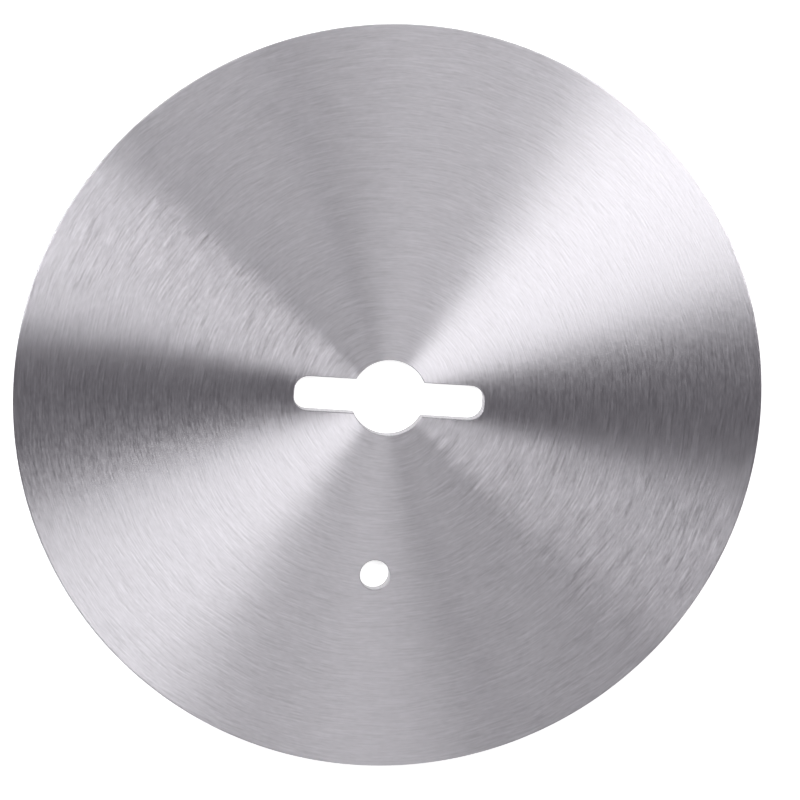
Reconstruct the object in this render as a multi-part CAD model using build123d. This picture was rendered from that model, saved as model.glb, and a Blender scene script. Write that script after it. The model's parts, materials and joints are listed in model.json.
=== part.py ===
from build123d import *
import os
from math import radians, tan

# Round slicing blade of a gyro knife: a thin steel disc, spun by a dog on the knife's spindle.
# Sizes are in millimetres. The blade lies on its ground side with the brushed face up (+Z).
# The origin is on the spin axis, in the plane of the ground side. The drive slot runs along X,
# and the locating hole lies towards -Y.

# Blank
blade_diameter = 100.0
blade_thickness = 2.0

# Cutting edge: ground and then honed from below, so that it cuts in the plane of the brushed face
ground_bevel_width = 6.2
honed_bevel_width = 0.8
honed_bevel_angle = 22.0
edge_land = 0.12

# Burr hone: a very shallow facet round the brushed face, which the last stroke on a stone leaves
burr_hone_width = 0.2
burr_hone_depth = 0.03

# Hub opening: a round hole for the spindle, crossed by a slot for the drive dog
hub_hole_diameter = 10.2
drive_slot_length = 25.4
drive_slot_width = 4.6
drive_slot_end_flat = 0.8

# Locating hole, square to the slot, for the pin that sets the blade on its carrier
locating_hole_diameter = 4.0
locating_hole_offset = 24.0

# Sharp corners taken off round every opening, on both faces
opening_edge_break = 0.1


def turned_blank():
    """Return the disc without its openings, turned from its half section."""
    rim_radius = blade_diameter / 2
    honed_radius = rim_radius - honed_bevel_width
    flat_radius = honed_radius - ground_bevel_width
    edge_top = blade_thickness - burr_hone_depth
    edge_bottom = edge_top - edge_land
    honed_bottom = edge_bottom - honed_bevel_width * tan(radians(honed_bevel_angle))

    half_section = Polyline(
        (0, 0),
        (flat_radius, 0),
        (honed_radius, honed_bottom),
        (rim_radius, edge_bottom),
        (rim_radius, edge_top),
        (rim_radius - burr_hone_width, blade_thickness),
        (0, blade_thickness),
        close=True,
    )
    return revolve(Plane.XZ * make_face(half_section), Axis.Z)


def opening_outlines():
    """Return the flat outlines of everything that is punched through the blank."""
    slot_corner_radius = (drive_slot_width - drive_slot_end_flat) / 2
    hub_hole = Circle(hub_hole_diameter / 2)
    drive_slot = RectangleRounded(drive_slot_length, drive_slot_width, slot_corner_radius)
    locating_hole = Pos(0, -locating_hole_offset) * Circle(locating_hole_diameter / 2)
    return hub_hole + drive_slot + locating_hole


def opening_rims(plate):
    """Return the edges round the openings, on the upper and the lower face."""
    flat_faces = plate.faces().filter_by(Axis.Z).sort_by(Axis.Z)
    rims = ShapeList()
    for face in (flat_faces[0], flat_faces[-1]):
        for wire in face.inner_wires():
            rims.extend(wire.edges())
    return rims


punched = turned_blank() - extrude(opening_outlines(), blade_thickness)
blade = chamfer(opening_rims(punched), opening_edge_break)
blade.label = "blade"

os.makedirs("parts", exist_ok=True)
export_step(blade, "parts/blade.step")
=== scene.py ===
"""Studio scene of a round slicing blade for a gyro knife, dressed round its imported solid.

The blade lies on its ground side, and its brushed face looks up into the camera. Sizes are in metres.
"""

import json
import logging
from dataclasses import dataclass
from enum import Enum
from math import atan2, cos, hypot, pi, radians, sin, tan, tau

import bmesh
import bpy
from mathutils import Matrix, Vector

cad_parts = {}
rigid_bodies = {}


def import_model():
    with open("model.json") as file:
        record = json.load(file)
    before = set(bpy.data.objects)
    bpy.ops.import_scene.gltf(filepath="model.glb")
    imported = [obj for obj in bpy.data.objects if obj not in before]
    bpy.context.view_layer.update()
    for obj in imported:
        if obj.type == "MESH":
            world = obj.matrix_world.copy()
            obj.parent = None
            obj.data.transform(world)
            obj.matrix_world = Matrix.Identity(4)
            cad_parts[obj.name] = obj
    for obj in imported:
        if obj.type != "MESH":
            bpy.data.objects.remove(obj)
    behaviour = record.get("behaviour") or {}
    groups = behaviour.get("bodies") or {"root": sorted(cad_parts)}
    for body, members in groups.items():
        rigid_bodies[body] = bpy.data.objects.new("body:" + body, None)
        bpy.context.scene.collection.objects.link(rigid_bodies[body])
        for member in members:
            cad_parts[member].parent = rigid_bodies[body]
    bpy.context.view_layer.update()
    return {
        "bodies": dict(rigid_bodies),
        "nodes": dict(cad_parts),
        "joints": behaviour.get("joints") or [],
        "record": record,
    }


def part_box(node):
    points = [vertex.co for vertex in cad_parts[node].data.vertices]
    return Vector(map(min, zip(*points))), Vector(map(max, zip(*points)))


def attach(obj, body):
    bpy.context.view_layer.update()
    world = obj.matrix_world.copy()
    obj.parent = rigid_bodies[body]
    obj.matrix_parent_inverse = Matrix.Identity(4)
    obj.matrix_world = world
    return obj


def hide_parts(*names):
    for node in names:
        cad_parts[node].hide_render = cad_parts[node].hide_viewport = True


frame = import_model()

MM = 0.001
UP = Vector((0.0, 0.0, 1.0))
NOISE_LOW, NOISE_MIDDLE, NOISE_HIGH = 0.3, 0.5, 0.7  # Smooth noise seldom leaves this range.
LOOKS_UP = 0.5  # A face whose normal's Z is above this looks up, and one below its negative looks down.
WALL_SLOPE = radians(40.0)  # Slope from which a face counts as the wall of an opening.
log = logging.getLogger("blade_scene")

Socket = bpy.types.NodeSocket
Colour = tuple[float, float, float]
WHITE: Colour = (1.0, 1.0, 1.0)


class Outline(Enum):
    """Shape of an opening, seen from above."""

    ROUND = "round"
    SLOT = "slot"


class Skin(Enum):
    """Finish that a face of the blade wears. Its value is the material's place on the piece."""

    BRUSHED = 0
    GROUND = 1
    HONED = 2
    PUNCHED = 3


class NodeSheet:
    """A node tree, with a short method for each kind of node that the finishes take."""

    def __init__(self, tree: bpy.types.NodeTree) -> None:
        """Empty the tree.

        Args:
            tree: The node tree of a material or of the world.
        """
        self.tree = tree
        self.tree.nodes.clear()

    def add(self, kind: str, **settings: object) -> bpy.types.Node:
        """Add a node.

        Args:
            kind: The node's type name, without its ShaderNode prefix.
            settings: Properties of the node and their values.

        Returns:
            The new node.
        """
        node = self.tree.nodes.new("ShaderNode" + kind)
        for name, value in settings.items():
            setattr(node, name, value)
        return node

    def feed(self, socket: Socket, value: object) -> None:
        """Link a socket to another one, or give it a fixed value.

        Args:
            socket: The input that is fed.
            value: An output socket, a number, or a tuple of numbers.
        """
        if isinstance(value, Socket):
            self.tree.links.new(value, socket)
        else:
            socket.default_value = value

    def math(self, operation: str, *values: object) -> Socket:
        """Return the result of a Math node on one, two or three values."""
        node = self.add("Math", operation=operation)
        for socket, value in zip(node.inputs, values):
            self.feed(socket, value)
        return node.outputs[0]

    def vector(self, operation: str, *vectors: object) -> Socket:
        """Return the vector result of a Vector Math node on one or two vectors."""
        node = self.add("VectorMath", operation=operation)
        for socket, value in zip(node.inputs, vectors):
            self.feed(socket, value)
        return node.outputs["Vector"]

    def scaled(self, vector: object, factor: object) -> Socket:
        """Return a vector times a number."""
        node = self.add("VectorMath", operation="SCALE")
        self.feed(node.inputs["Vector"], vector)
        self.feed(node.inputs["Scale"], factor)
        return node.outputs["Vector"]

    def length(self, vector: object) -> Socket:
        """Return the length of a vector."""
        node = self.add("VectorMath", operation="LENGTH")
        self.feed(node.inputs["Vector"], vector)
        return node.outputs["Value"]

    def joined(self, x: object, y: object, z: object) -> Socket:
        """Return the vector of three numbers."""
        node = self.add("CombineXYZ")
        for socket, value in zip(node.inputs, (x, y, z)):
            self.feed(socket, value)
        return node.outputs["Vector"]

    def split(self, vector: object) -> tuple[Socket, Socket, Socket]:
        """Return the three numbers of a vector."""
        node = self.add("SeparateXYZ")
        self.feed(node.inputs["Vector"], vector)
        return node.outputs["X"], node.outputs["Y"], node.outputs["Z"]

    def spread(
        self, value: object, start: float, end: float, low: float, high: float, smooth: bool = False,
    ) -> Socket:
        """Carry a value from one range to another, held at both ends.

        Args:
            value: The value.
            start: Where its range begins.
            end: Where its range ends.
            low: The result at start.
            high: The result at end.
            smooth: Whether the result eases in and out.

        Returns:
            The value in the range from low to high.
        """
        node = self.add("MapRange", interpolation_type="SMOOTHSTEP" if smooth else "LINEAR")
        given = {"Value": value, "From Min": start, "From Max": end, "To Min": low, "To Max": high}
        for name, number in given.items():
            self.feed(node.inputs[name], number)
        return node.outputs["Result"]

    def noise(self, place: object) -> Socket:
        """Return smooth noise between 0 and 1, with cells one unit wide."""
        node = self.add("TexNoise", noise_dimensions="3D")
        for name, value in {"Vector": place, "Scale": 1.0, "Detail": 0.0}.items():
            self.feed(node.inputs[name], value)
        return node.outputs["Fac"]

    def tint(self, amount: object, low: Colour, high: Colour) -> Socket:
        """Return a colour between two others."""
        node = self.add("Mix", data_type="RGBA")
        first, second = (socket for socket in node.inputs if socket.type == "RGBA")
        self.feed(node.inputs["Factor"], amount)
        self.feed(first, (*low, 1.0))
        self.feed(second, (*high, 1.0))
        return next(socket for socket in node.outputs if socket.type == "RGBA")


@dataclass(frozen=True)
class Turning:
    """Place, radius and directions at a point of the blade, round the centre of its scratches."""

    x: Socket
    y: Socket
    z: Socket
    radius: Socket
    outwards: Socket
    around: Socket

    @classmethod
    def on(cls, sheet: NodeSheet, off_axis: float = 0.0) -> "Turning":
        """Read them from Object coordinates.

        Args:
            sheet: The material's node sheet.
            off_axis: Place of the scratches' centre along X, where 0 is the blade's axis.

        Returns:
            The sockets that hold them.
        """
        x, y, z = sheet.split(sheet.add("TexCoord").outputs["Object"])
        flat = sheet.joined(sheet.math("SUBTRACT", x, off_axis), y, 0.0)
        outwards = sheet.vector("NORMALIZE", flat)
        around = sheet.vector("CROSS_PRODUCT", tuple(UP), outwards)
        return cls(x, y, z, sheet.length(flat), outwards, around)


@dataclass(frozen=True)
class Strokes:
    """One layer of scratches, in circles round their centre.

    A scratch is a stretched cell of noise, looked up by place at its length and by radius at its width.
    So it is as long and as wide at the rim as at the hub, and the layer has no seam.

    Attributes:
        length: Length of a scratch.
        width: Width of a scratch.
        stray: How far a scratch leaves its circle.
        stray_length: Distance over which it does so.
        layer: Offset that sets this layer apart from the others.
    """

    length: float
    width: float
    stray: float
    stray_length: float
    layer: float

    def on(self, sheet: NodeSheet, turning: Turning) -> Socket:
        """Draw the layer.

        Args:
            sheet: The material's node sheet.
            turning: The point's radius and directions.

        Returns:
            The scratches' height, between 0 and 1.
        """
        drift = sheet.noise(sheet.joined(
            sheet.math("DIVIDE", turning.x, self.stray_length),
            sheet.math("DIVIDE", turning.y, self.stray_length),
            self.layer,
        ))
        radius = sheet.math("MULTIPLY_ADD", drift, 2 * self.stray, turning.radius)
        return sheet.noise(sheet.joined(
            sheet.math("MULTIPLY_ADD", turning.x, 1 / self.length, self.layer),
            sheet.math("DIVIDE", turning.y, self.length),
            sheet.math("DIVIDE", radius, self.width),
        ))


@dataclass(frozen=True)
class ScratchedSteel:
    """Steel with scratches in circles. Each scratch smears a reflection across itself.

    Attributes:
        name: Name of the material.
        colour: Mean colour of the steel.
        roughness: Spread of a reflection across the scratches.
        fine: The finest scratches.
        coarse: Longer scratches, which cross the fine ones.
        scores: Scratches of which a few stand out, lighter or darker than the rest.
        score_weight: How strong a score is beside the other scratches.
        shade: How much lighter and darker than the mean a scratch is, as a share.
        roughness_shift: How much rougher than the mean a light scratch is.
        sway: How far a scratch turns off its circle.
        relief: Depth of the scratches.
        swirl: How far all the scratches turn off their circles at their centre, as in a spiral.
        swirl_end: Radius where that turn has died away.
        off_axis: Place of the scratches' centre along X, where 0 is the blade's axis.
        fine_share: Share of the fine scratches in the grain. The coarse ones have the rest.
        score_start: How far off its middle the noise is where a score begins.
        score_full: How far off its middle the noise is where a score is at its strongest.
    """

    name: str
    colour: Colour
    roughness: float
    fine: Strokes
    coarse: Strokes
    scores: Strokes
    score_weight: float
    shade: float
    roughness_shift: float
    sway: float
    relief: float
    swirl: float = 0.0
    swirl_end: float = 50.0 * MM
    off_axis: float = 0.0
    fine_share: float = 0.6
    score_start: float = 0.08
    score_full: float = 0.24

    def material(self) -> bpy.types.Material:
        """Make the material.

        Returns:
            The new material.
        """
        material = bpy.data.materials.new(self.name)
        material.use_nodes = True
        sheet = NodeSheet(material.node_tree)
        turning = Turning.on(sheet, self.off_axis)
        fine = self.fine.on(sheet, turning)
        coarse = self.coarse.on(sheet, turning)
        scores = self.scores.on(sheet, turning)

        rest = sheet.math("MULTIPLY", coarse, 1.0 - self.fine_share)
        grain = sheet.math("MULTIPLY_ADD", fine, self.fine_share, rest)
        scratch = sheet.spread(grain, NOISE_LOW, NOISE_HIGH, -1.0, 1.0)
        light_score = sheet.spread(
            scores, NOISE_MIDDLE + self.score_start, NOISE_MIDDLE + self.score_full, 0.0, 1.0,
        )
        dark_score = sheet.spread(
            scores, NOISE_MIDDLE - self.score_start, NOISE_MIDDLE - self.score_full, 0.0, 1.0,
        )
        score = sheet.math("SUBTRACT", light_score, dark_score)
        mark = sheet.math("MULTIPLY_ADD", score, self.score_weight, scratch)
        swirl = sheet.spread(turning.radius, 0.0, self.swirl_end, tan(self.swirl), 0.0)
        across = sheet.vector("ADD", turning.outwards, sheet.scaled(
            turning.around, sheet.math("MULTIPLY_ADD", scratch, tan(self.sway), swirl),
        ))

        bump = sheet.add("Bump")
        sheet.feed(bump.inputs["Distance"], self.relief)
        sheet.feed(bump.inputs["Height"], mark)

        shader = sheet.add("BsdfPrincipled")
        dressed = {
            "Base Color": sheet.scaled(self.colour, sheet.math("MULTIPLY_ADD", mark, self.shade, 1.0)),
            "Metallic": 1.0,
            "Roughness": sheet.math("MULTIPLY_ADD", mark, self.roughness_shift, self.roughness),
            "Anisotropic": 1.0,
            "Tangent": sheet.vector("NORMALIZE", across),
            "Normal": bump.outputs["Normal"],
        }
        for name, value in dressed.items():
            sheet.feed(shader.inputs[name], value)
        sheet.feed(sheet.add("OutputMaterial").inputs["Surface"], shader.outputs["BSDF"])
        return material


@dataclass(frozen=True)
class PunchedSteel:
    """Matt steel of a punched wall, smooth above and torn below, with fine marks through the thickness. Its
    foot is darker, partly the torn steel's own tone and partly painted shade where the wall meets the
    floor.

    Attributes:
        name: Name of the material.
        colour: Mean colour of the steel.
        thickness: Thickness of the blade.
        torn_shaded_band: Height of the torn band at the foot of the wall, darkened partly with painted
            shade, as a share of the thickness.
        torn_shaded_band_full: Height up to which it is fully dark, as a share of its own height.
        torn_shaded_band_stray: How far down a mark draws its top, as a share of the thickness.
        torn_band_and_painted_shade: How much darker the torn band is, as a share: partly the torn steel's
            own tone, partly painted shade where the wall meets the floor.
        roughness: Spread of a reflection in the deepest marks.
        roughness_rise: How much rougher the ridges between the marks are.
        mark_width: Width of a mark.
        mark_length: Length of a mark.
        shade: How much darker and lighter than the mean a mark is, as a share.
        relief: Depth of the marks.
    """

    name: str
    colour: Colour
    thickness: float
    torn_shaded_band: float = 0.3
    torn_shaded_band_full: float = 0.6
    torn_shaded_band_stray: float = 0.1
    torn_band_and_painted_shade: float = 0.45
    roughness: float = 0.38
    roughness_rise: float = 0.1
    mark_width: float = 0.12 * MM
    mark_length: float = 2.5 * MM
    shade: float = 0.12
    relief: float = 4e-6

    def material(self) -> bpy.types.Material:
        """Make the material.

        Returns:
            The new material.
        """
        material = bpy.data.materials.new(self.name)
        material.use_nodes = True
        sheet = NodeSheet(material.node_tree)
        turning = Turning.on(sheet)
        marks = sheet.spread(sheet.noise(sheet.joined(
            sheet.math("DIVIDE", turning.x, self.mark_width),
            sheet.math("DIVIDE", turning.y, self.mark_width),
            sheet.math("DIVIDE", turning.z, self.mark_length),
        )), NOISE_LOW, NOISE_HIGH, 0.0, 1.0)
        darker = tuple(part * (1 - self.shade) for part in self.colour)
        lighter = tuple(part * (1 + self.shade) for part in self.colour)
        torn_shaded_band_top = self.torn_shaded_band * self.thickness
        height = sheet.math("MULTIPLY_ADD", marks, self.torn_shaded_band_stray * self.thickness, turning.z)
        # Painted shade: the foot of the wall is darkened, partly as the torn steel's own tone, partly as
        # shade where the wall meets the floor.
        torn_band_and_painted_shade_tone = sheet.spread(height, self.torn_shaded_band_full * torn_shaded_band_top, torn_shaded_band_top, 1.0 - self.torn_band_and_painted_shade, 1.0)

        bump = sheet.add("Bump")
        sheet.feed(bump.inputs["Distance"], self.relief)
        sheet.feed(bump.inputs["Height"], marks)

        shader = sheet.add("BsdfPrincipled")
        dressed = {
            # The base colour carries the painted shade at the foot of the wall.
            "Base Color": sheet.scaled(sheet.tint(marks, darker, lighter), torn_band_and_painted_shade_tone),
            "Metallic": 1.0,
            "Roughness": sheet.spread(
                marks, 0.0, 1.0, self.roughness, self.roughness + self.roughness_rise,
            ),
            "Normal": bump.outputs["Normal"],
        }
        for name, value in dressed.items():
            sheet.feed(shader.inputs[name], value)
        sheet.feed(sheet.add("OutputMaterial").inputs["Surface"], shader.outputs["BSDF"])
        return material


@dataclass(frozen=True)
class BladeSection:
    """Half section of the turned blank, from inside the hub hole to the cutting edge.

    Attributes:
        rim_radius: Radius of the cutting edge.
        thickness: Height from the ground side to the brushed face.
        inner_radius: Radius at which the section starts, inside the hub hole.
        ground_bevel_width: Width of the bevel under the rim.
        honed_bevel_width: Width of the honed strip at the end of that bevel.
        honed_bevel_angle: Slope of the honed strip.
        edge_land: Height of the cutting edge.
        burr_hone_width: Width of the shallow facet round the brushed face.
        burr_hone_depth: Fall of that facet.
        ring_width: Widest step between two rings of a flat face.
        turns: Steps of the full turn.
    """

    rim_radius: float
    thickness: float
    inner_radius: float = 3.0 * MM
    ground_bevel_width: float = 6.2 * MM
    honed_bevel_width: float = 0.8 * MM
    honed_bevel_angle: float = radians(22.0)
    edge_land: float = 0.12 * MM
    burr_hone_width: float = 0.2 * MM
    burr_hone_depth: float = 0.03 * MM
    ring_width: float = 2.0 * MM
    turns: int = 384

    @property
    def edge_top(self) -> float:
        """Height of the cutting edge's upper corner."""
        return self.thickness - self.burr_hone_depth

    @property
    def honed_radius(self) -> float:
        """Radius where the honed strip starts."""
        return self.rim_radius - self.honed_bevel_width

    @property
    def flat_radius(self) -> float:
        """Radius where the flat of the ground side ends."""
        return self.honed_radius - self.ground_bevel_width

    def corners(self) -> list[Vector]:
        """Return the section's corners, from the inner end over the brushed face and back below."""
        edge_bottom = self.edge_top - self.edge_land
        honed_bottom = edge_bottom - self.honed_bevel_width * tan(self.honed_bevel_angle)
        places = (
            (self.inner_radius, self.thickness),
            (self.rim_radius - self.burr_hone_width, self.thickness),
            (self.rim_radius, self.edge_top),
            (self.rim_radius, edge_bottom),
            (self.honed_radius, honed_bottom),
            (self.flat_radius, 0.0),
            (self.inner_radius, 0.0),
        )
        return [Vector((radius, 0.0, height)) for radius, height in places]

    def turned(self) -> bmesh.types.BMesh:
        """Turn the section into the blank.

        Returns:
            A closed bmesh of the blank.
        """
        bm = bmesh.new()
        corners = [bm.verts.new(corner) for corner in self.corners()]
        for start, end in zip(corners, corners[1:] + corners[:1]):
            bm.edges.new((start, end))
        while wide := [edge for edge in bm.edges if edge.calc_length() > self.ring_width]:
            bmesh.ops.subdivide_edges(bm, edges=wide, cuts=1)
        bmesh.ops.spin(
            bm, geom=bm.verts[:] + bm.edges[:], cent=(0.0, 0.0, 0.0), axis=UP,
            angle=tau, steps=self.turns, use_merge=True, use_duplicate=False,
        )
        bmesh.ops.recalc_face_normals(bm, faces=bm.faces)
        return bm

    def skin_of(self, face: bmesh.types.BMFace) -> Skin:
        """Return the finish of a face of the punched blade."""
        radius = face.calc_center_median().xy.length
        if radius < self.flat_radius:
            return Skin.PUNCHED if is_wall(face) else Skin.BRUSHED
        if face.normal.z > LOOKS_UP:
            return Skin.BRUSHED
        return Skin.GROUND if radius < self.honed_radius else Skin.HONED


@dataclass(frozen=True)
class Opening:
    """An opening that is punched through the blade, with its sharp corners taken off.

    Attributes:
        name: Name of the opening.
        outline: Its shape, seen from above.
        width: Its diameter, or its width across.
        centre: Its place on the blade.
        length: Its length along X, on a slot.
        corner_radius: Radius of its corners, on a slot.
        edge_break: Width of the chamfer on either side.
        reach: How far the punch stands out of the blade.
        weld: Distance within which the two halves of the punch join.
        round_steps: Steps round a full circle.
        corner_steps: Steps round one corner.
    """

    name: str
    outline: Outline
    width: float
    centre: Vector
    length: float = 0.0
    corner_radius: float = 0.0
    edge_break: float = 0.1 * MM
    reach: float = 0.3 * MM
    weld: float = 0.01 * MM
    round_steps: int = 96
    corner_steps: int = 16

    def punch(self, thickness: float) -> bmesh.types.BMesh:
        """Make the punch: a prism whose mouths flare at 45 degrees above and below the blade.

        Args:
            thickness: Thickness of the blade.

        Returns:
            A closed bmesh of the punch.
        """
        flare = self.edge_break + self.reach
        bm = self.mouth(flare)
        bmesh.ops.translate(bm, vec=self.centre + UP * (thickness + self.reach), verts=bm.verts)
        floor = bm.faces[:]
        if floor[0].normal.z < 0:
            bmesh.ops.reverse_faces(bm, faces=floor)
        bmesh.ops.inset_region(
            bm, faces=floor, thickness=flare, depth=-flare, use_boundary=True, use_even_offset=True,
        )
        neck = floor[0].edges[:]
        bmesh.ops.delete(bm, geom=floor, context="FACES_ONLY")
        drawn = bmesh.ops.extrude_edge_only(bm, edges=neck)["geom"]
        waist = [part for part in drawn if isinstance(part, bmesh.types.BMVert)]
        bmesh.ops.translate(bm, vec=-UP * (thickness / 2 - self.edge_break), verts=waist)
        bmesh.ops.mirror(
            bm, geom=bm.verts[:] + bm.edges[:] + bm.faces[:], axis="Z",
            matrix=Matrix.Translation(-UP * thickness / 2), merge_dist=0.0,
        )
        bmesh.ops.remove_doubles(bm, verts=bm.verts, dist=self.weld)
        bmesh.ops.holes_fill(bm, edges=[edge for edge in bm.edges if edge.is_boundary], sides=0)
        bmesh.ops.recalc_face_normals(bm, faces=bm.faces)
        return bm

    def mouth(self, flare: float) -> bmesh.types.BMesh:
        """Make the flat outline of the opening, grown by a flare.

        Args:
            flare: How far the outline is grown.

        Returns:
            A bmesh of one face, at the origin.
        """
        bm = bmesh.new()
        if self.outline is Outline.ROUND:
            bmesh.ops.create_circle(
                bm, cap_ends=True, radius=self.width / 2 + flare, segments=self.round_steps,
            )
            return bm
        bmesh.ops.create_grid(bm, x_segments=1, y_segments=1, size=0.5)
        bmesh.ops.scale(bm, vec=(self.length + 2 * flare, self.width + 2 * flare, 1.0), verts=bm.verts)
        bmesh.ops.bevel(
            bm, geom=bm.verts[:], offset=self.corner_radius + flare, offset_type="OFFSET",
            segments=self.corner_steps, profile=0.5, affect="VERTICES", material=-1,
        )
        return bm


def is_wall(face: bmesh.types.BMFace) -> bool:
    """Return whether a face is steep, as the wall or the broken edge of an opening is."""
    return abs(face.normal.z) < cos(WALL_SLOPE)


@dataclass(frozen=True)
class PolarMap:
    """The blade's map, laid out in polar form.

    The turned surface runs along U, from the hub hole out over the brushed face, round the cutting edge
    and back on the ground side. The angle round the axis runs along V. The walls of the openings have
    strips of their own beside it, with the height along U.

    Attributes:
        section: The blank's half section.
        hub_radius: Radius where the turned surface starts, at the hub hole.
        centres: Centres of the openings, one for each strip.
        turned_start: U where the turned surface starts.
        turned_end: U where the turned surface ends.
        strip_gap: Width of the gap in front of each strip.
        strip_width: Width of each strip.
        snap: Distance within which a corner lies on the cut.
        name: Name of the map.
    """

    section: BladeSection
    hub_radius: float
    centres: tuple[Vector, ...]
    turned_start: float = 0.01
    turned_end: float = 0.93
    strip_gap: float = 0.012
    strip_width: float = 0.018
    snap: float = 1e-7
    name: str = "OFBake"

    def lay_out(self, bm: bmesh.types.BMesh) -> None:
        """Write the map, with the faces cut where the angle starts.

        Args:
            bm: The punched blade.
        """
        bmesh.ops.bisect_plane(
            bm, geom=bm.verts[:] + bm.edges[:] + bm.faces[:], dist=self.snap,
            plane_co=(0.0, 0.0, 0.0), plane_no=(0.0, 1.0, 0.0),
        )
        layer = bm.loops.layers.uv.new(self.name)
        for face in bm.faces:
            middle = face.calc_center_median()
            wall = is_wall(face) and middle.xy.length < self.section.flat_radius
            strip = min(range(len(self.centres)), key=lambda i: (middle - self.centres[i]).xy.length)
            centre = self.centres[strip] if wall else Vector()
            turn = angle_from(centre, middle)
            for loop in face.loops:
                place = loop.vert.co
                along = self.wall_place(place, strip) if wall else self.turned_place(place, face)
                swing = (angle_from(centre, place) - turn + pi) % tau - pi
                loop[layer].uv = (along, (turn + swing) / tau)

    def turned_place(self, place: Vector, face: bmesh.types.BMFace) -> float:
        """Return U of a place on a face of the turned surface."""
        rim = self.section.rim_radius
        half = rim - self.hub_radius
        length = 2 * half + self.section.edge_land
        radius = hypot(place.x, place.y)
        if face.normal.z > LOOKS_UP:
            along = radius - self.hub_radius
        elif face.normal.z > -LOOKS_UP:
            along = half + self.section.edge_top - place.z
        else:
            along = length - (radius - self.hub_radius)
        return self.turned_start + (self.turned_end - self.turned_start) * along / length

    def wall_place(self, place: Vector, strip: int) -> float:
        """Return U of a place on the wall of an opening."""
        start = self.turned_end + self.strip_gap + strip * (self.strip_width + self.strip_gap)
        return start + self.strip_width * place.z / self.section.thickness


def angle_from(centre: Vector, place: Vector) -> float:
    """Return the direction of a place from a centre, from 0 to a full turn."""
    return atan2(place.y - centre.y, place.x - centre.x) % tau


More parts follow.
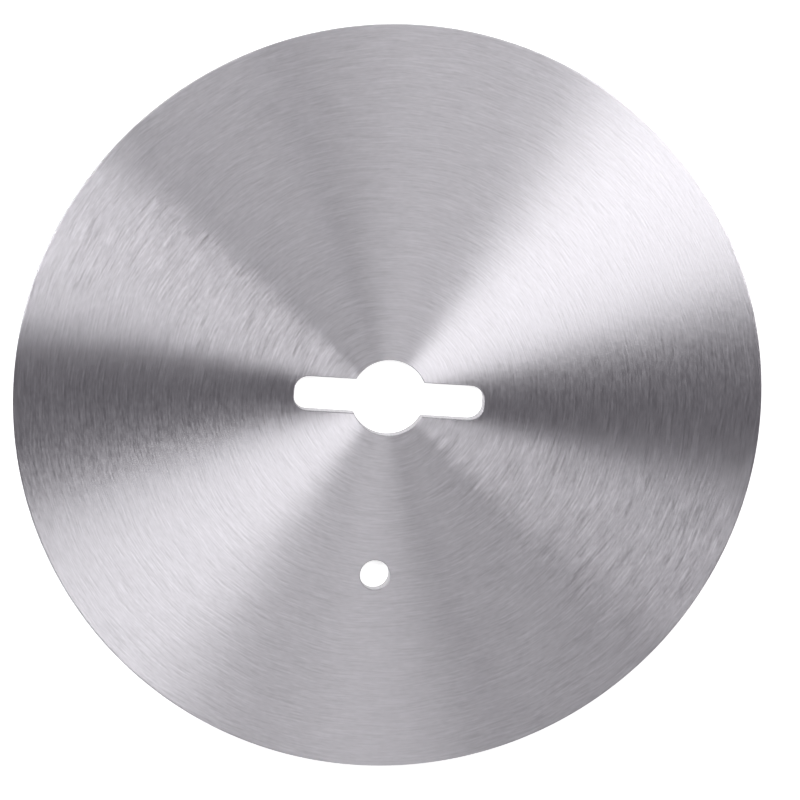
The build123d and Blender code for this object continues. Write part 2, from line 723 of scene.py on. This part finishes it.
@dataclass(frozen=True)
class SlicerBlade:
    """The blade: a turned blank with punched openings, brushed, ground and honed.

    Attributes:
        section: The blank's half section.
        openings: What is punched through it.
        colour: Mean colour of its steel.
        drive_slot_length: Length of the slot across the hub hole.
        drive_slot_width: Width of that slot.
        drive_slot_corner: Radius of its corners.
        honed_share: Colour of the honed strip, as a share of the mean colour.
        punched_share: Colour of the openings' walls, as a share of the mean colour.
        name: Name of the piece.
        node: CAD node that the piece stands for.
        slot: The record's material slot that it takes its finish from.
        crease: Angle from which two faces meet in a sharp edge.
    """

    section: BladeSection
    openings: tuple[Opening, ...]
    colour: Colour
    drive_slot_length: float = 25.4 * MM
    drive_slot_width: float = 4.6 * MM
    drive_slot_corner: float = 1.9 * MM
    honed_share: float = 1.08
    punched_share: float = 0.8
    name: str = "brushed_blade"
    node: str = "blade"
    slot: str = "brushed_blade_steel"
    crease: float = radians(7.5)

    @classmethod
    def from_frame(cls, packed: dict) -> "SlicerBlade":
        """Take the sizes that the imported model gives.


        Returns:
            The blade, not yet built.
        """
        lowest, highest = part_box(cls.node)
        size = highest - lowest
        section = BladeSection(rim_radius=min(size.x, size.y) / 2, thickness=size.z)
        mounts = {mount["name"]: mount for mount in packed["record"]["mounts"]}
        diameter = {name: 2 * mounts[name]["dims"]["r_mm"] * MM for name in ("hub_hole", "locating_hole")}
        locating_centre = Vector(mounts["locating_hole"]["pos_m"]) * Vector((1.0, 1.0, 0.0))
        openings = (
            Opening("hub_hole", Outline.ROUND, diameter["hub_hole"], Vector()),
            Opening(
                "drive_slot", Outline.SLOT, cls.drive_slot_width, Vector(),
                length=cls.drive_slot_length, corner_radius=cls.drive_slot_corner,
            ),
            Opening("locating_hole", Outline.ROUND, diameter["locating_hole"], locating_centre),
        )
        slots = {material["slot"]: material for material in packed["record"]["materials"]}
        return cls(section, openings, tuple(slots[cls.slot]["base_color"]))

    def build(self) -> bpy.types.Object:
        """Build the blade, dress it and put it in the frame.

        Returns:
            The finished piece.
        """
        piece = bpy.data.objects.new(self.name, mesh_of(self.section.turned(), self.name))
        bpy.context.scene.collection.objects.link(piece)
        self.punch_openings(piece)
        self.dress(piece)
        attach(piece, "root")
        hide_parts(self.node)
        return piece

    def punch_openings(self, piece: bpy.types.Object) -> None:
        """Cut the openings out of the blank.

        Args:
            piece: The blank. It gets the punched mesh.
        """
        punches = []
        for opening in self.openings:
            mesh = mesh_of(opening.punch(self.section.thickness), opening.name)
            punch = bpy.data.objects.new(opening.name, mesh)
            bpy.context.scene.collection.objects.link(punch)
            punches.append(punch)
            cut = piece.modifiers.new(opening.name, "BOOLEAN")
            cut.operation = "DIFFERENCE"
            cut.solver = "MANIFOLD"
            cut.object = punch
        shown = piece.evaluated_get(bpy.context.evaluated_depsgraph_get())
        blank, piece.data = piece.data, bpy.data.meshes.new_from_object(shown)
        piece.modifiers.clear()
        bpy.data.meshes.remove(blank)
        for punch in punches:
            bpy.data.meshes.remove(punch.data)

    def dress(self, piece: bpy.types.Object) -> None:
        """Give each face its finish, the map and its smooth or sharp edges.

        Args:
            piece: The punched blade.
        """
        mesh = piece.data
        mesh.name = self.name
        mesh.materials.clear()
        for finish in self.finishes().values():
            mesh.materials.append(finish.material())
        bm = bmesh.new()
        bm.from_mesh(mesh)
        centres = (self.openings[0].centre, self.openings[-1].centre)
        PolarMap(self.section, self.openings[0].width / 2, centres).lay_out(bm)
        for face in bm.faces:
            face.material_index = self.section.skin_of(face).value
            face.smooth = True
        bm.to_mesh(mesh)
        bm.free()
        mesh.set_sharp_from_angle(angle=self.crease)

    def toned(self, share: float) -> Colour:
        """Return the mean colour times a share."""
        return tuple(part * share for part in self.colour)

    def finishes(self) -> dict[Skin, ScratchedSteel | PunchedSteel]:
        """Return the finish of each kind of face, in the order of their places on the piece."""
        hairs = Strokes(length=0.8 * MM, width=0.22 * MM, stray=0.3 * MM, stray_length=6 * MM, layer=3.0)
        long_hairs = Strokes(
            length=1.8 * MM, width=0.27 * MM, stray=0.4 * MM, stray_length=7 * MM, layer=17.0,
        )
        scores = Strokes(length=3.6 * MM, width=0.22 * MM, stray=0.5 * MM, stray_length=8 * MM, layer=29.0)
        brushed = ScratchedSteel(
            name="brushed_steel",
            colour=self.colour,
            roughness=0.35,
            fine=hairs,
            coarse=long_hairs,
            scores=scores,
            score_weight=1.6,
            shade=0.045,
            roughness_shift=0.021,
            sway=radians(1.0),
            relief=1.2e-6,
            swirl=radians(3.8),
            swirl_end=self.section.rim_radius,
            off_axis=-0.48 * MM,
        )
        grit = Strokes(length=5 * MM, width=0.09 * MM, stray=0.02 * MM, stray_length=6 * MM, layer=5.0)
        ridges = Strokes(length=9 * MM, width=0.2 * MM, stray=0.02 * MM, stray_length=6 * MM, layer=23.0)
        ground = ScratchedSteel(
            name="ground_steel",
            colour=self.colour,
            roughness=0.32,
            fine=grit,
            coarse=ridges,
            scores=ridges,
            score_weight=0.8,
            shade=0.06,
            roughness_shift=-0.01,
            sway=radians(1.5),
            relief=0.8e-6,
        )
        honed = ScratchedSteel(
            name="honed_steel",
            colour=self.toned(self.honed_share),
            roughness=0.20,
            fine=grit,
            coarse=grit,
            scores=ridges,
            score_weight=0.6,
            shade=0.03,
            roughness_shift=-0.01,
            sway=radians(1.0),
            relief=0.3e-6,
        )
        punched = PunchedSteel("punched_steel", self.toned(self.punched_share), self.section.thickness)
        return {Skin.BRUSHED: brushed, Skin.GROUND: ground, Skin.HONED: honed, Skin.PUNCHED: punched}


def mesh_of(bm: bmesh.types.BMesh, name: str) -> bpy.types.Mesh:
    """Turn a bmesh into a mesh and free it.

    Args:
        bm: The bmesh.
        name: Name of the mesh.

    Returns:
        The new mesh.
    """
    mesh = bpy.data.meshes.new(name)
    bm.to_mesh(mesh)
    bm.free()
    return mesh


@dataclass(frozen=True)
class Softbox:
    """A soft lamp that shines on the blade.

    Attributes:
        name: Name of the lamp.
        azimuth: Direction from the blade, in degrees from X towards Y.
        width: Its side that runs round the blade's axis.
        brightness: Brightness of its cloth, where 1 is the white of the picture.
        slant: Angle between its direction and straight up, in degrees.
        distance: Distance from the blade.
        length: Its side that runs up towards the zenith.
    """

    name: str
    azimuth: float
    width: float
    brightness: float
    slant: float = 30.0
    distance: float = 0.9
    length: float = 0.25

    def build(self) -> bpy.types.Object:
        """Hang the lamp.

        Returns:
            The lamp's object.
        """
        azimuth, slant = radians(self.azimuth), radians(self.slant)
        back = Vector((sin(slant) * cos(azimuth), sin(slant) * sin(azimuth), cos(slant)))
        side = Vector((-sin(azimuth), cos(azimuth), 0.0))
        light = bpy.data.lights.new(self.name, "AREA")
        light.shape = "RECTANGLE"
        light.size = self.width
        light.size_y = self.length
        light.energy = self.brightness * pi * self.width * self.length
        lamp = bpy.data.objects.new(self.name, light)
        lamp.matrix_world = standing_at(back * self.distance, side, back.cross(side), back)
        lamp.visible_camera = False
        bpy.context.scene.collection.objects.link(lamp)
        return lamp


@dataclass(frozen=True)
class PaleFloor:
    """The pale surface that the blade lies on.

    Attributes:
        name: Name of the floor.
        radius: Radius of the floor.
        steps: Steps round its edge.
        drop: Gap between the floor and the blade, which keeps their faces apart.
        colour: Colour of the floor.
        glow: White that the camera and mirroring surfaces see on top of the lit floor.
        lit_radius: Radius round the blade within which the lamps light the floor.
        unlit_radius: Radius from which they hardly do, so that the glow alone makes the white.
    """

    name: str = "pale_floor"
    radius: float = 6.0
    steps: int = 64
    drop: float = 0.02 * MM
    colour: Colour = (0.5, 0.5, 0.5)
    glow: float = 0.78
    lit_radius: float = 0.3
    unlit_radius: float = 1.2

    def build(self) -> bpy.types.Object:
        """Lay the floor.

        Returns:
            The floor's object.
        """
        bm = bmesh.new()
        bmesh.ops.create_circle(bm, cap_ends=True, radius=self.radius, segments=self.steps)
        bmesh.ops.translate(bm, vec=-UP * self.drop, verts=bm.verts)
        bmesh.ops.recalc_face_normals(bm, faces=bm.faces)
        if bm.faces[:][0].normal.z < 0:
            bmesh.ops.reverse_faces(bm, faces=bm.faces[:])
        floor = bpy.data.objects.new(self.name, mesh_of(bm, self.name))
        floor.data.materials.append(self.material())
        bpy.context.scene.collection.objects.link(floor)
        return floor

    def material(self) -> bpy.types.Material:
        """Make the floor's material: lit paper, lifted to white where the camera or a mirror sees it.

        Returns:
            The new material.
        """
        material = bpy.data.materials.new(self.name)
        material.use_nodes = True
        sheet = NodeSheet(material.node_tree)
        paper = sheet.add("BsdfDiffuse")
        sheet.feed(paper.inputs["Color"], (*self.colour, 1.0))
        away = sheet.length(sheet.add("TexCoord").outputs["Object"])
        level = sheet.spread(away, self.lit_radius, self.unlit_radius, self.glow, 1.0, smooth=True)
        glow = sheet.add("Emission")
        sheet.feed(glow.inputs["Strength"], sheet.math("MULTIPLY", seen_directly(sheet), level))
        both = sheet.add("AddShader")
        sheet.feed(both.inputs[0], paper.outputs["BSDF"])
        sheet.feed(both.inputs[1], glow.outputs["Emission"])
        sheet.feed(sheet.add("OutputMaterial").inputs["Surface"], both.outputs["Shader"])
        return material


def seen_directly(sheet: NodeSheet) -> Socket:
    """Return 1 where the camera, a mirroring or a clear surface sees a point, and 0 for other light."""
    path = sheet.add("LightPath")
    seen = sheet.math("MAXIMUM", path.outputs["Is Camera Ray"], path.outputs["Is Glossy Ray"])
    return sheet.math("MAXIMUM", seen, path.outputs["Is Transmission Ray"])


@dataclass(frozen=True)
class Surroundings:
    """The studio round the blade: a white sweep at the horizon, and dim grey above it.

    Attributes:
        name: Name of the world.
        sweep: Brightness of the sweep.
        ceiling: Brightness of the ceiling.
        tint: Colour of the ceiling, a grey with a breath of violet.
        sweep_top: Height of the sweep, as the sine of its elevation.
        ceiling_start: Height where the ceiling is reached, as the sine of its elevation.
    """

    name: str = "studio"
    sweep: float = 1.0
    ceiling: float = 0.13
    tint: Colour = (1.0, 0.95, 1.05)
    sweep_top: float = 0.08
    ceiling_start: float = 0.35

    def build(self) -> bpy.types.World:
        """Make the world.

        Returns:
            The new world.
        """
        world = bpy.data.worlds.new(self.name)
        world.use_nodes = True
        sheet = NodeSheet(world.node_tree)
        height = sheet.split(sheet.add("TexCoord").outputs["Generated"])[2]
        air = sheet.add("Background")
        rise = (self.sweep_top, self.ceiling_start)
        level = sheet.spread(height, *rise, self.sweep, self.ceiling, smooth=True)
        share = sheet.spread(height, *rise, 0.0, 1.0, smooth=True)
        sheet.feed(air.inputs["Color"], sheet.tint(share, WHITE, self.tint))
        sheet.feed(air.inputs["Strength"], level)
        sheet.feed(sheet.add("OutputWorld").inputs["Surface"], air.outputs["Background"])
        bpy.context.scene.world = world
        return world


@dataclass(frozen=True)
class Camera:
    """The camera, above the blade and a little off its axis.

    Attributes:
        name: Name of the camera.
        distance: Distance from the blade.
        slant: Angle between the line of sight and the blade's axis, in degrees.
        slant_azimuth: Side that the camera stands off to, in degrees from the picture's right to its top.
        roll: How far the drive slot is turned in the picture, in degrees clockwise.
        view_width: Width of the view at the blade.
        aim_right: How far right of the blade's axis the camera aims, in the picture.
        aim_down: How far below the blade's axis the camera aims, in the picture.
        sensor_width: Width of the sensor, in millimetres.
        clip_ratio: How many times nearer and farther than the blade the view starts and ends.
    """

    name: str = "overhead_camera"
    distance: float = 1.0
    slant: float = 12.0
    slant_azimuth: float = 122.0
    roll: float = 4.6
    view_width: float = 106.4 * MM
    aim_right: float = 1.65 * MM
    aim_down: float = 0.6 * MM
    sensor_width: float = 36.0
    clip_ratio: float = 100.0

    def build(self) -> bpy.types.Object:
        """Set the camera up as the scene's camera.

        Returns:
            The camera's object.
        """
        slant = radians(self.slant)
        azimuth = radians(self.slant_azimuth + self.roll)
        picture_up = radians(90.0 + self.roll)
        back = Vector((sin(slant) * cos(azimuth), sin(slant) * sin(azimuth), cos(slant)))
        right = Vector((cos(picture_up), sin(picture_up), 0.0)).cross(back).normalized()
        above = back.cross(right)
        aim = right * self.aim_right - above * self.aim_down
        lens = bpy.data.cameras.new(self.name)
        lens.sensor_width = self.sensor_width
        lens.lens = self.sensor_width * self.distance / self.view_width
        lens.clip_start = self.distance / self.clip_ratio
        lens.clip_end = self.distance * self.clip_ratio
        camera = bpy.data.objects.new(self.name, lens)
        camera.matrix_world = standing_at(aim + back * self.distance, right, above, back)
        bpy.context.scene.collection.objects.link(camera)
        bpy.context.scene.camera = camera
        return camera


def standing_at(place: Vector, right: Vector, above: Vector, back: Vector) -> Matrix:
    """Return the matrix of a lamp or camera from its place and its three axes."""
    turned = Matrix((right, above, back)).transposed().to_4x4()
    return Matrix.Translation(place) @ turned


SOFTBOXES = (
    Softbox("key_softbox", azimuth=16.0, width=0.38, brightness=10.5, distance=1.14, length=0.318),
    Softbox("upper_right_softbox", azimuth=49.0, width=0.32, brightness=4.1),
    Softbox("top_softbox", azimuth=89.4, width=0.32, brightness=3.3),
    Softbox("upper_left_softbox", azimuth=128.0, width=0.285, brightness=5.3),
    Softbox(
        "side_softbox", azimuth=164.5, width=0.195, brightness=12.8, slant=50.0, distance=0.4, length=0.13,
    ),
    Softbox("lower_softbox", azimuth=285.0, width=0.147, brightness=2.5),
)


def main() -> None:
    """Build the blade and the studio round it."""
    logging.basicConfig(level=logging.INFO, format="%(name)s: %(message)s")
    piece = SlicerBlade.from_frame(frame).build()
    log.info("%s: %d faces in %d finishes", piece.name, len(piece.data.polygons), len(piece.data.materials))
    floor = PaleFloor().build()
    log.info("%s: laid", floor.name)
    world = Surroundings().build()
    log.info("%s: lit", world.name)
    for softbox in SOFTBOXES:
        log.info("%s: hung", softbox.build().name)
    camera = Camera().build()
    log.info("%s: lens of %.0f mm", camera.name, camera.data.lens)
    bpy.context.scene.view_settings.view_transform = "Standard"


if __name__ == "__main__":
    main()
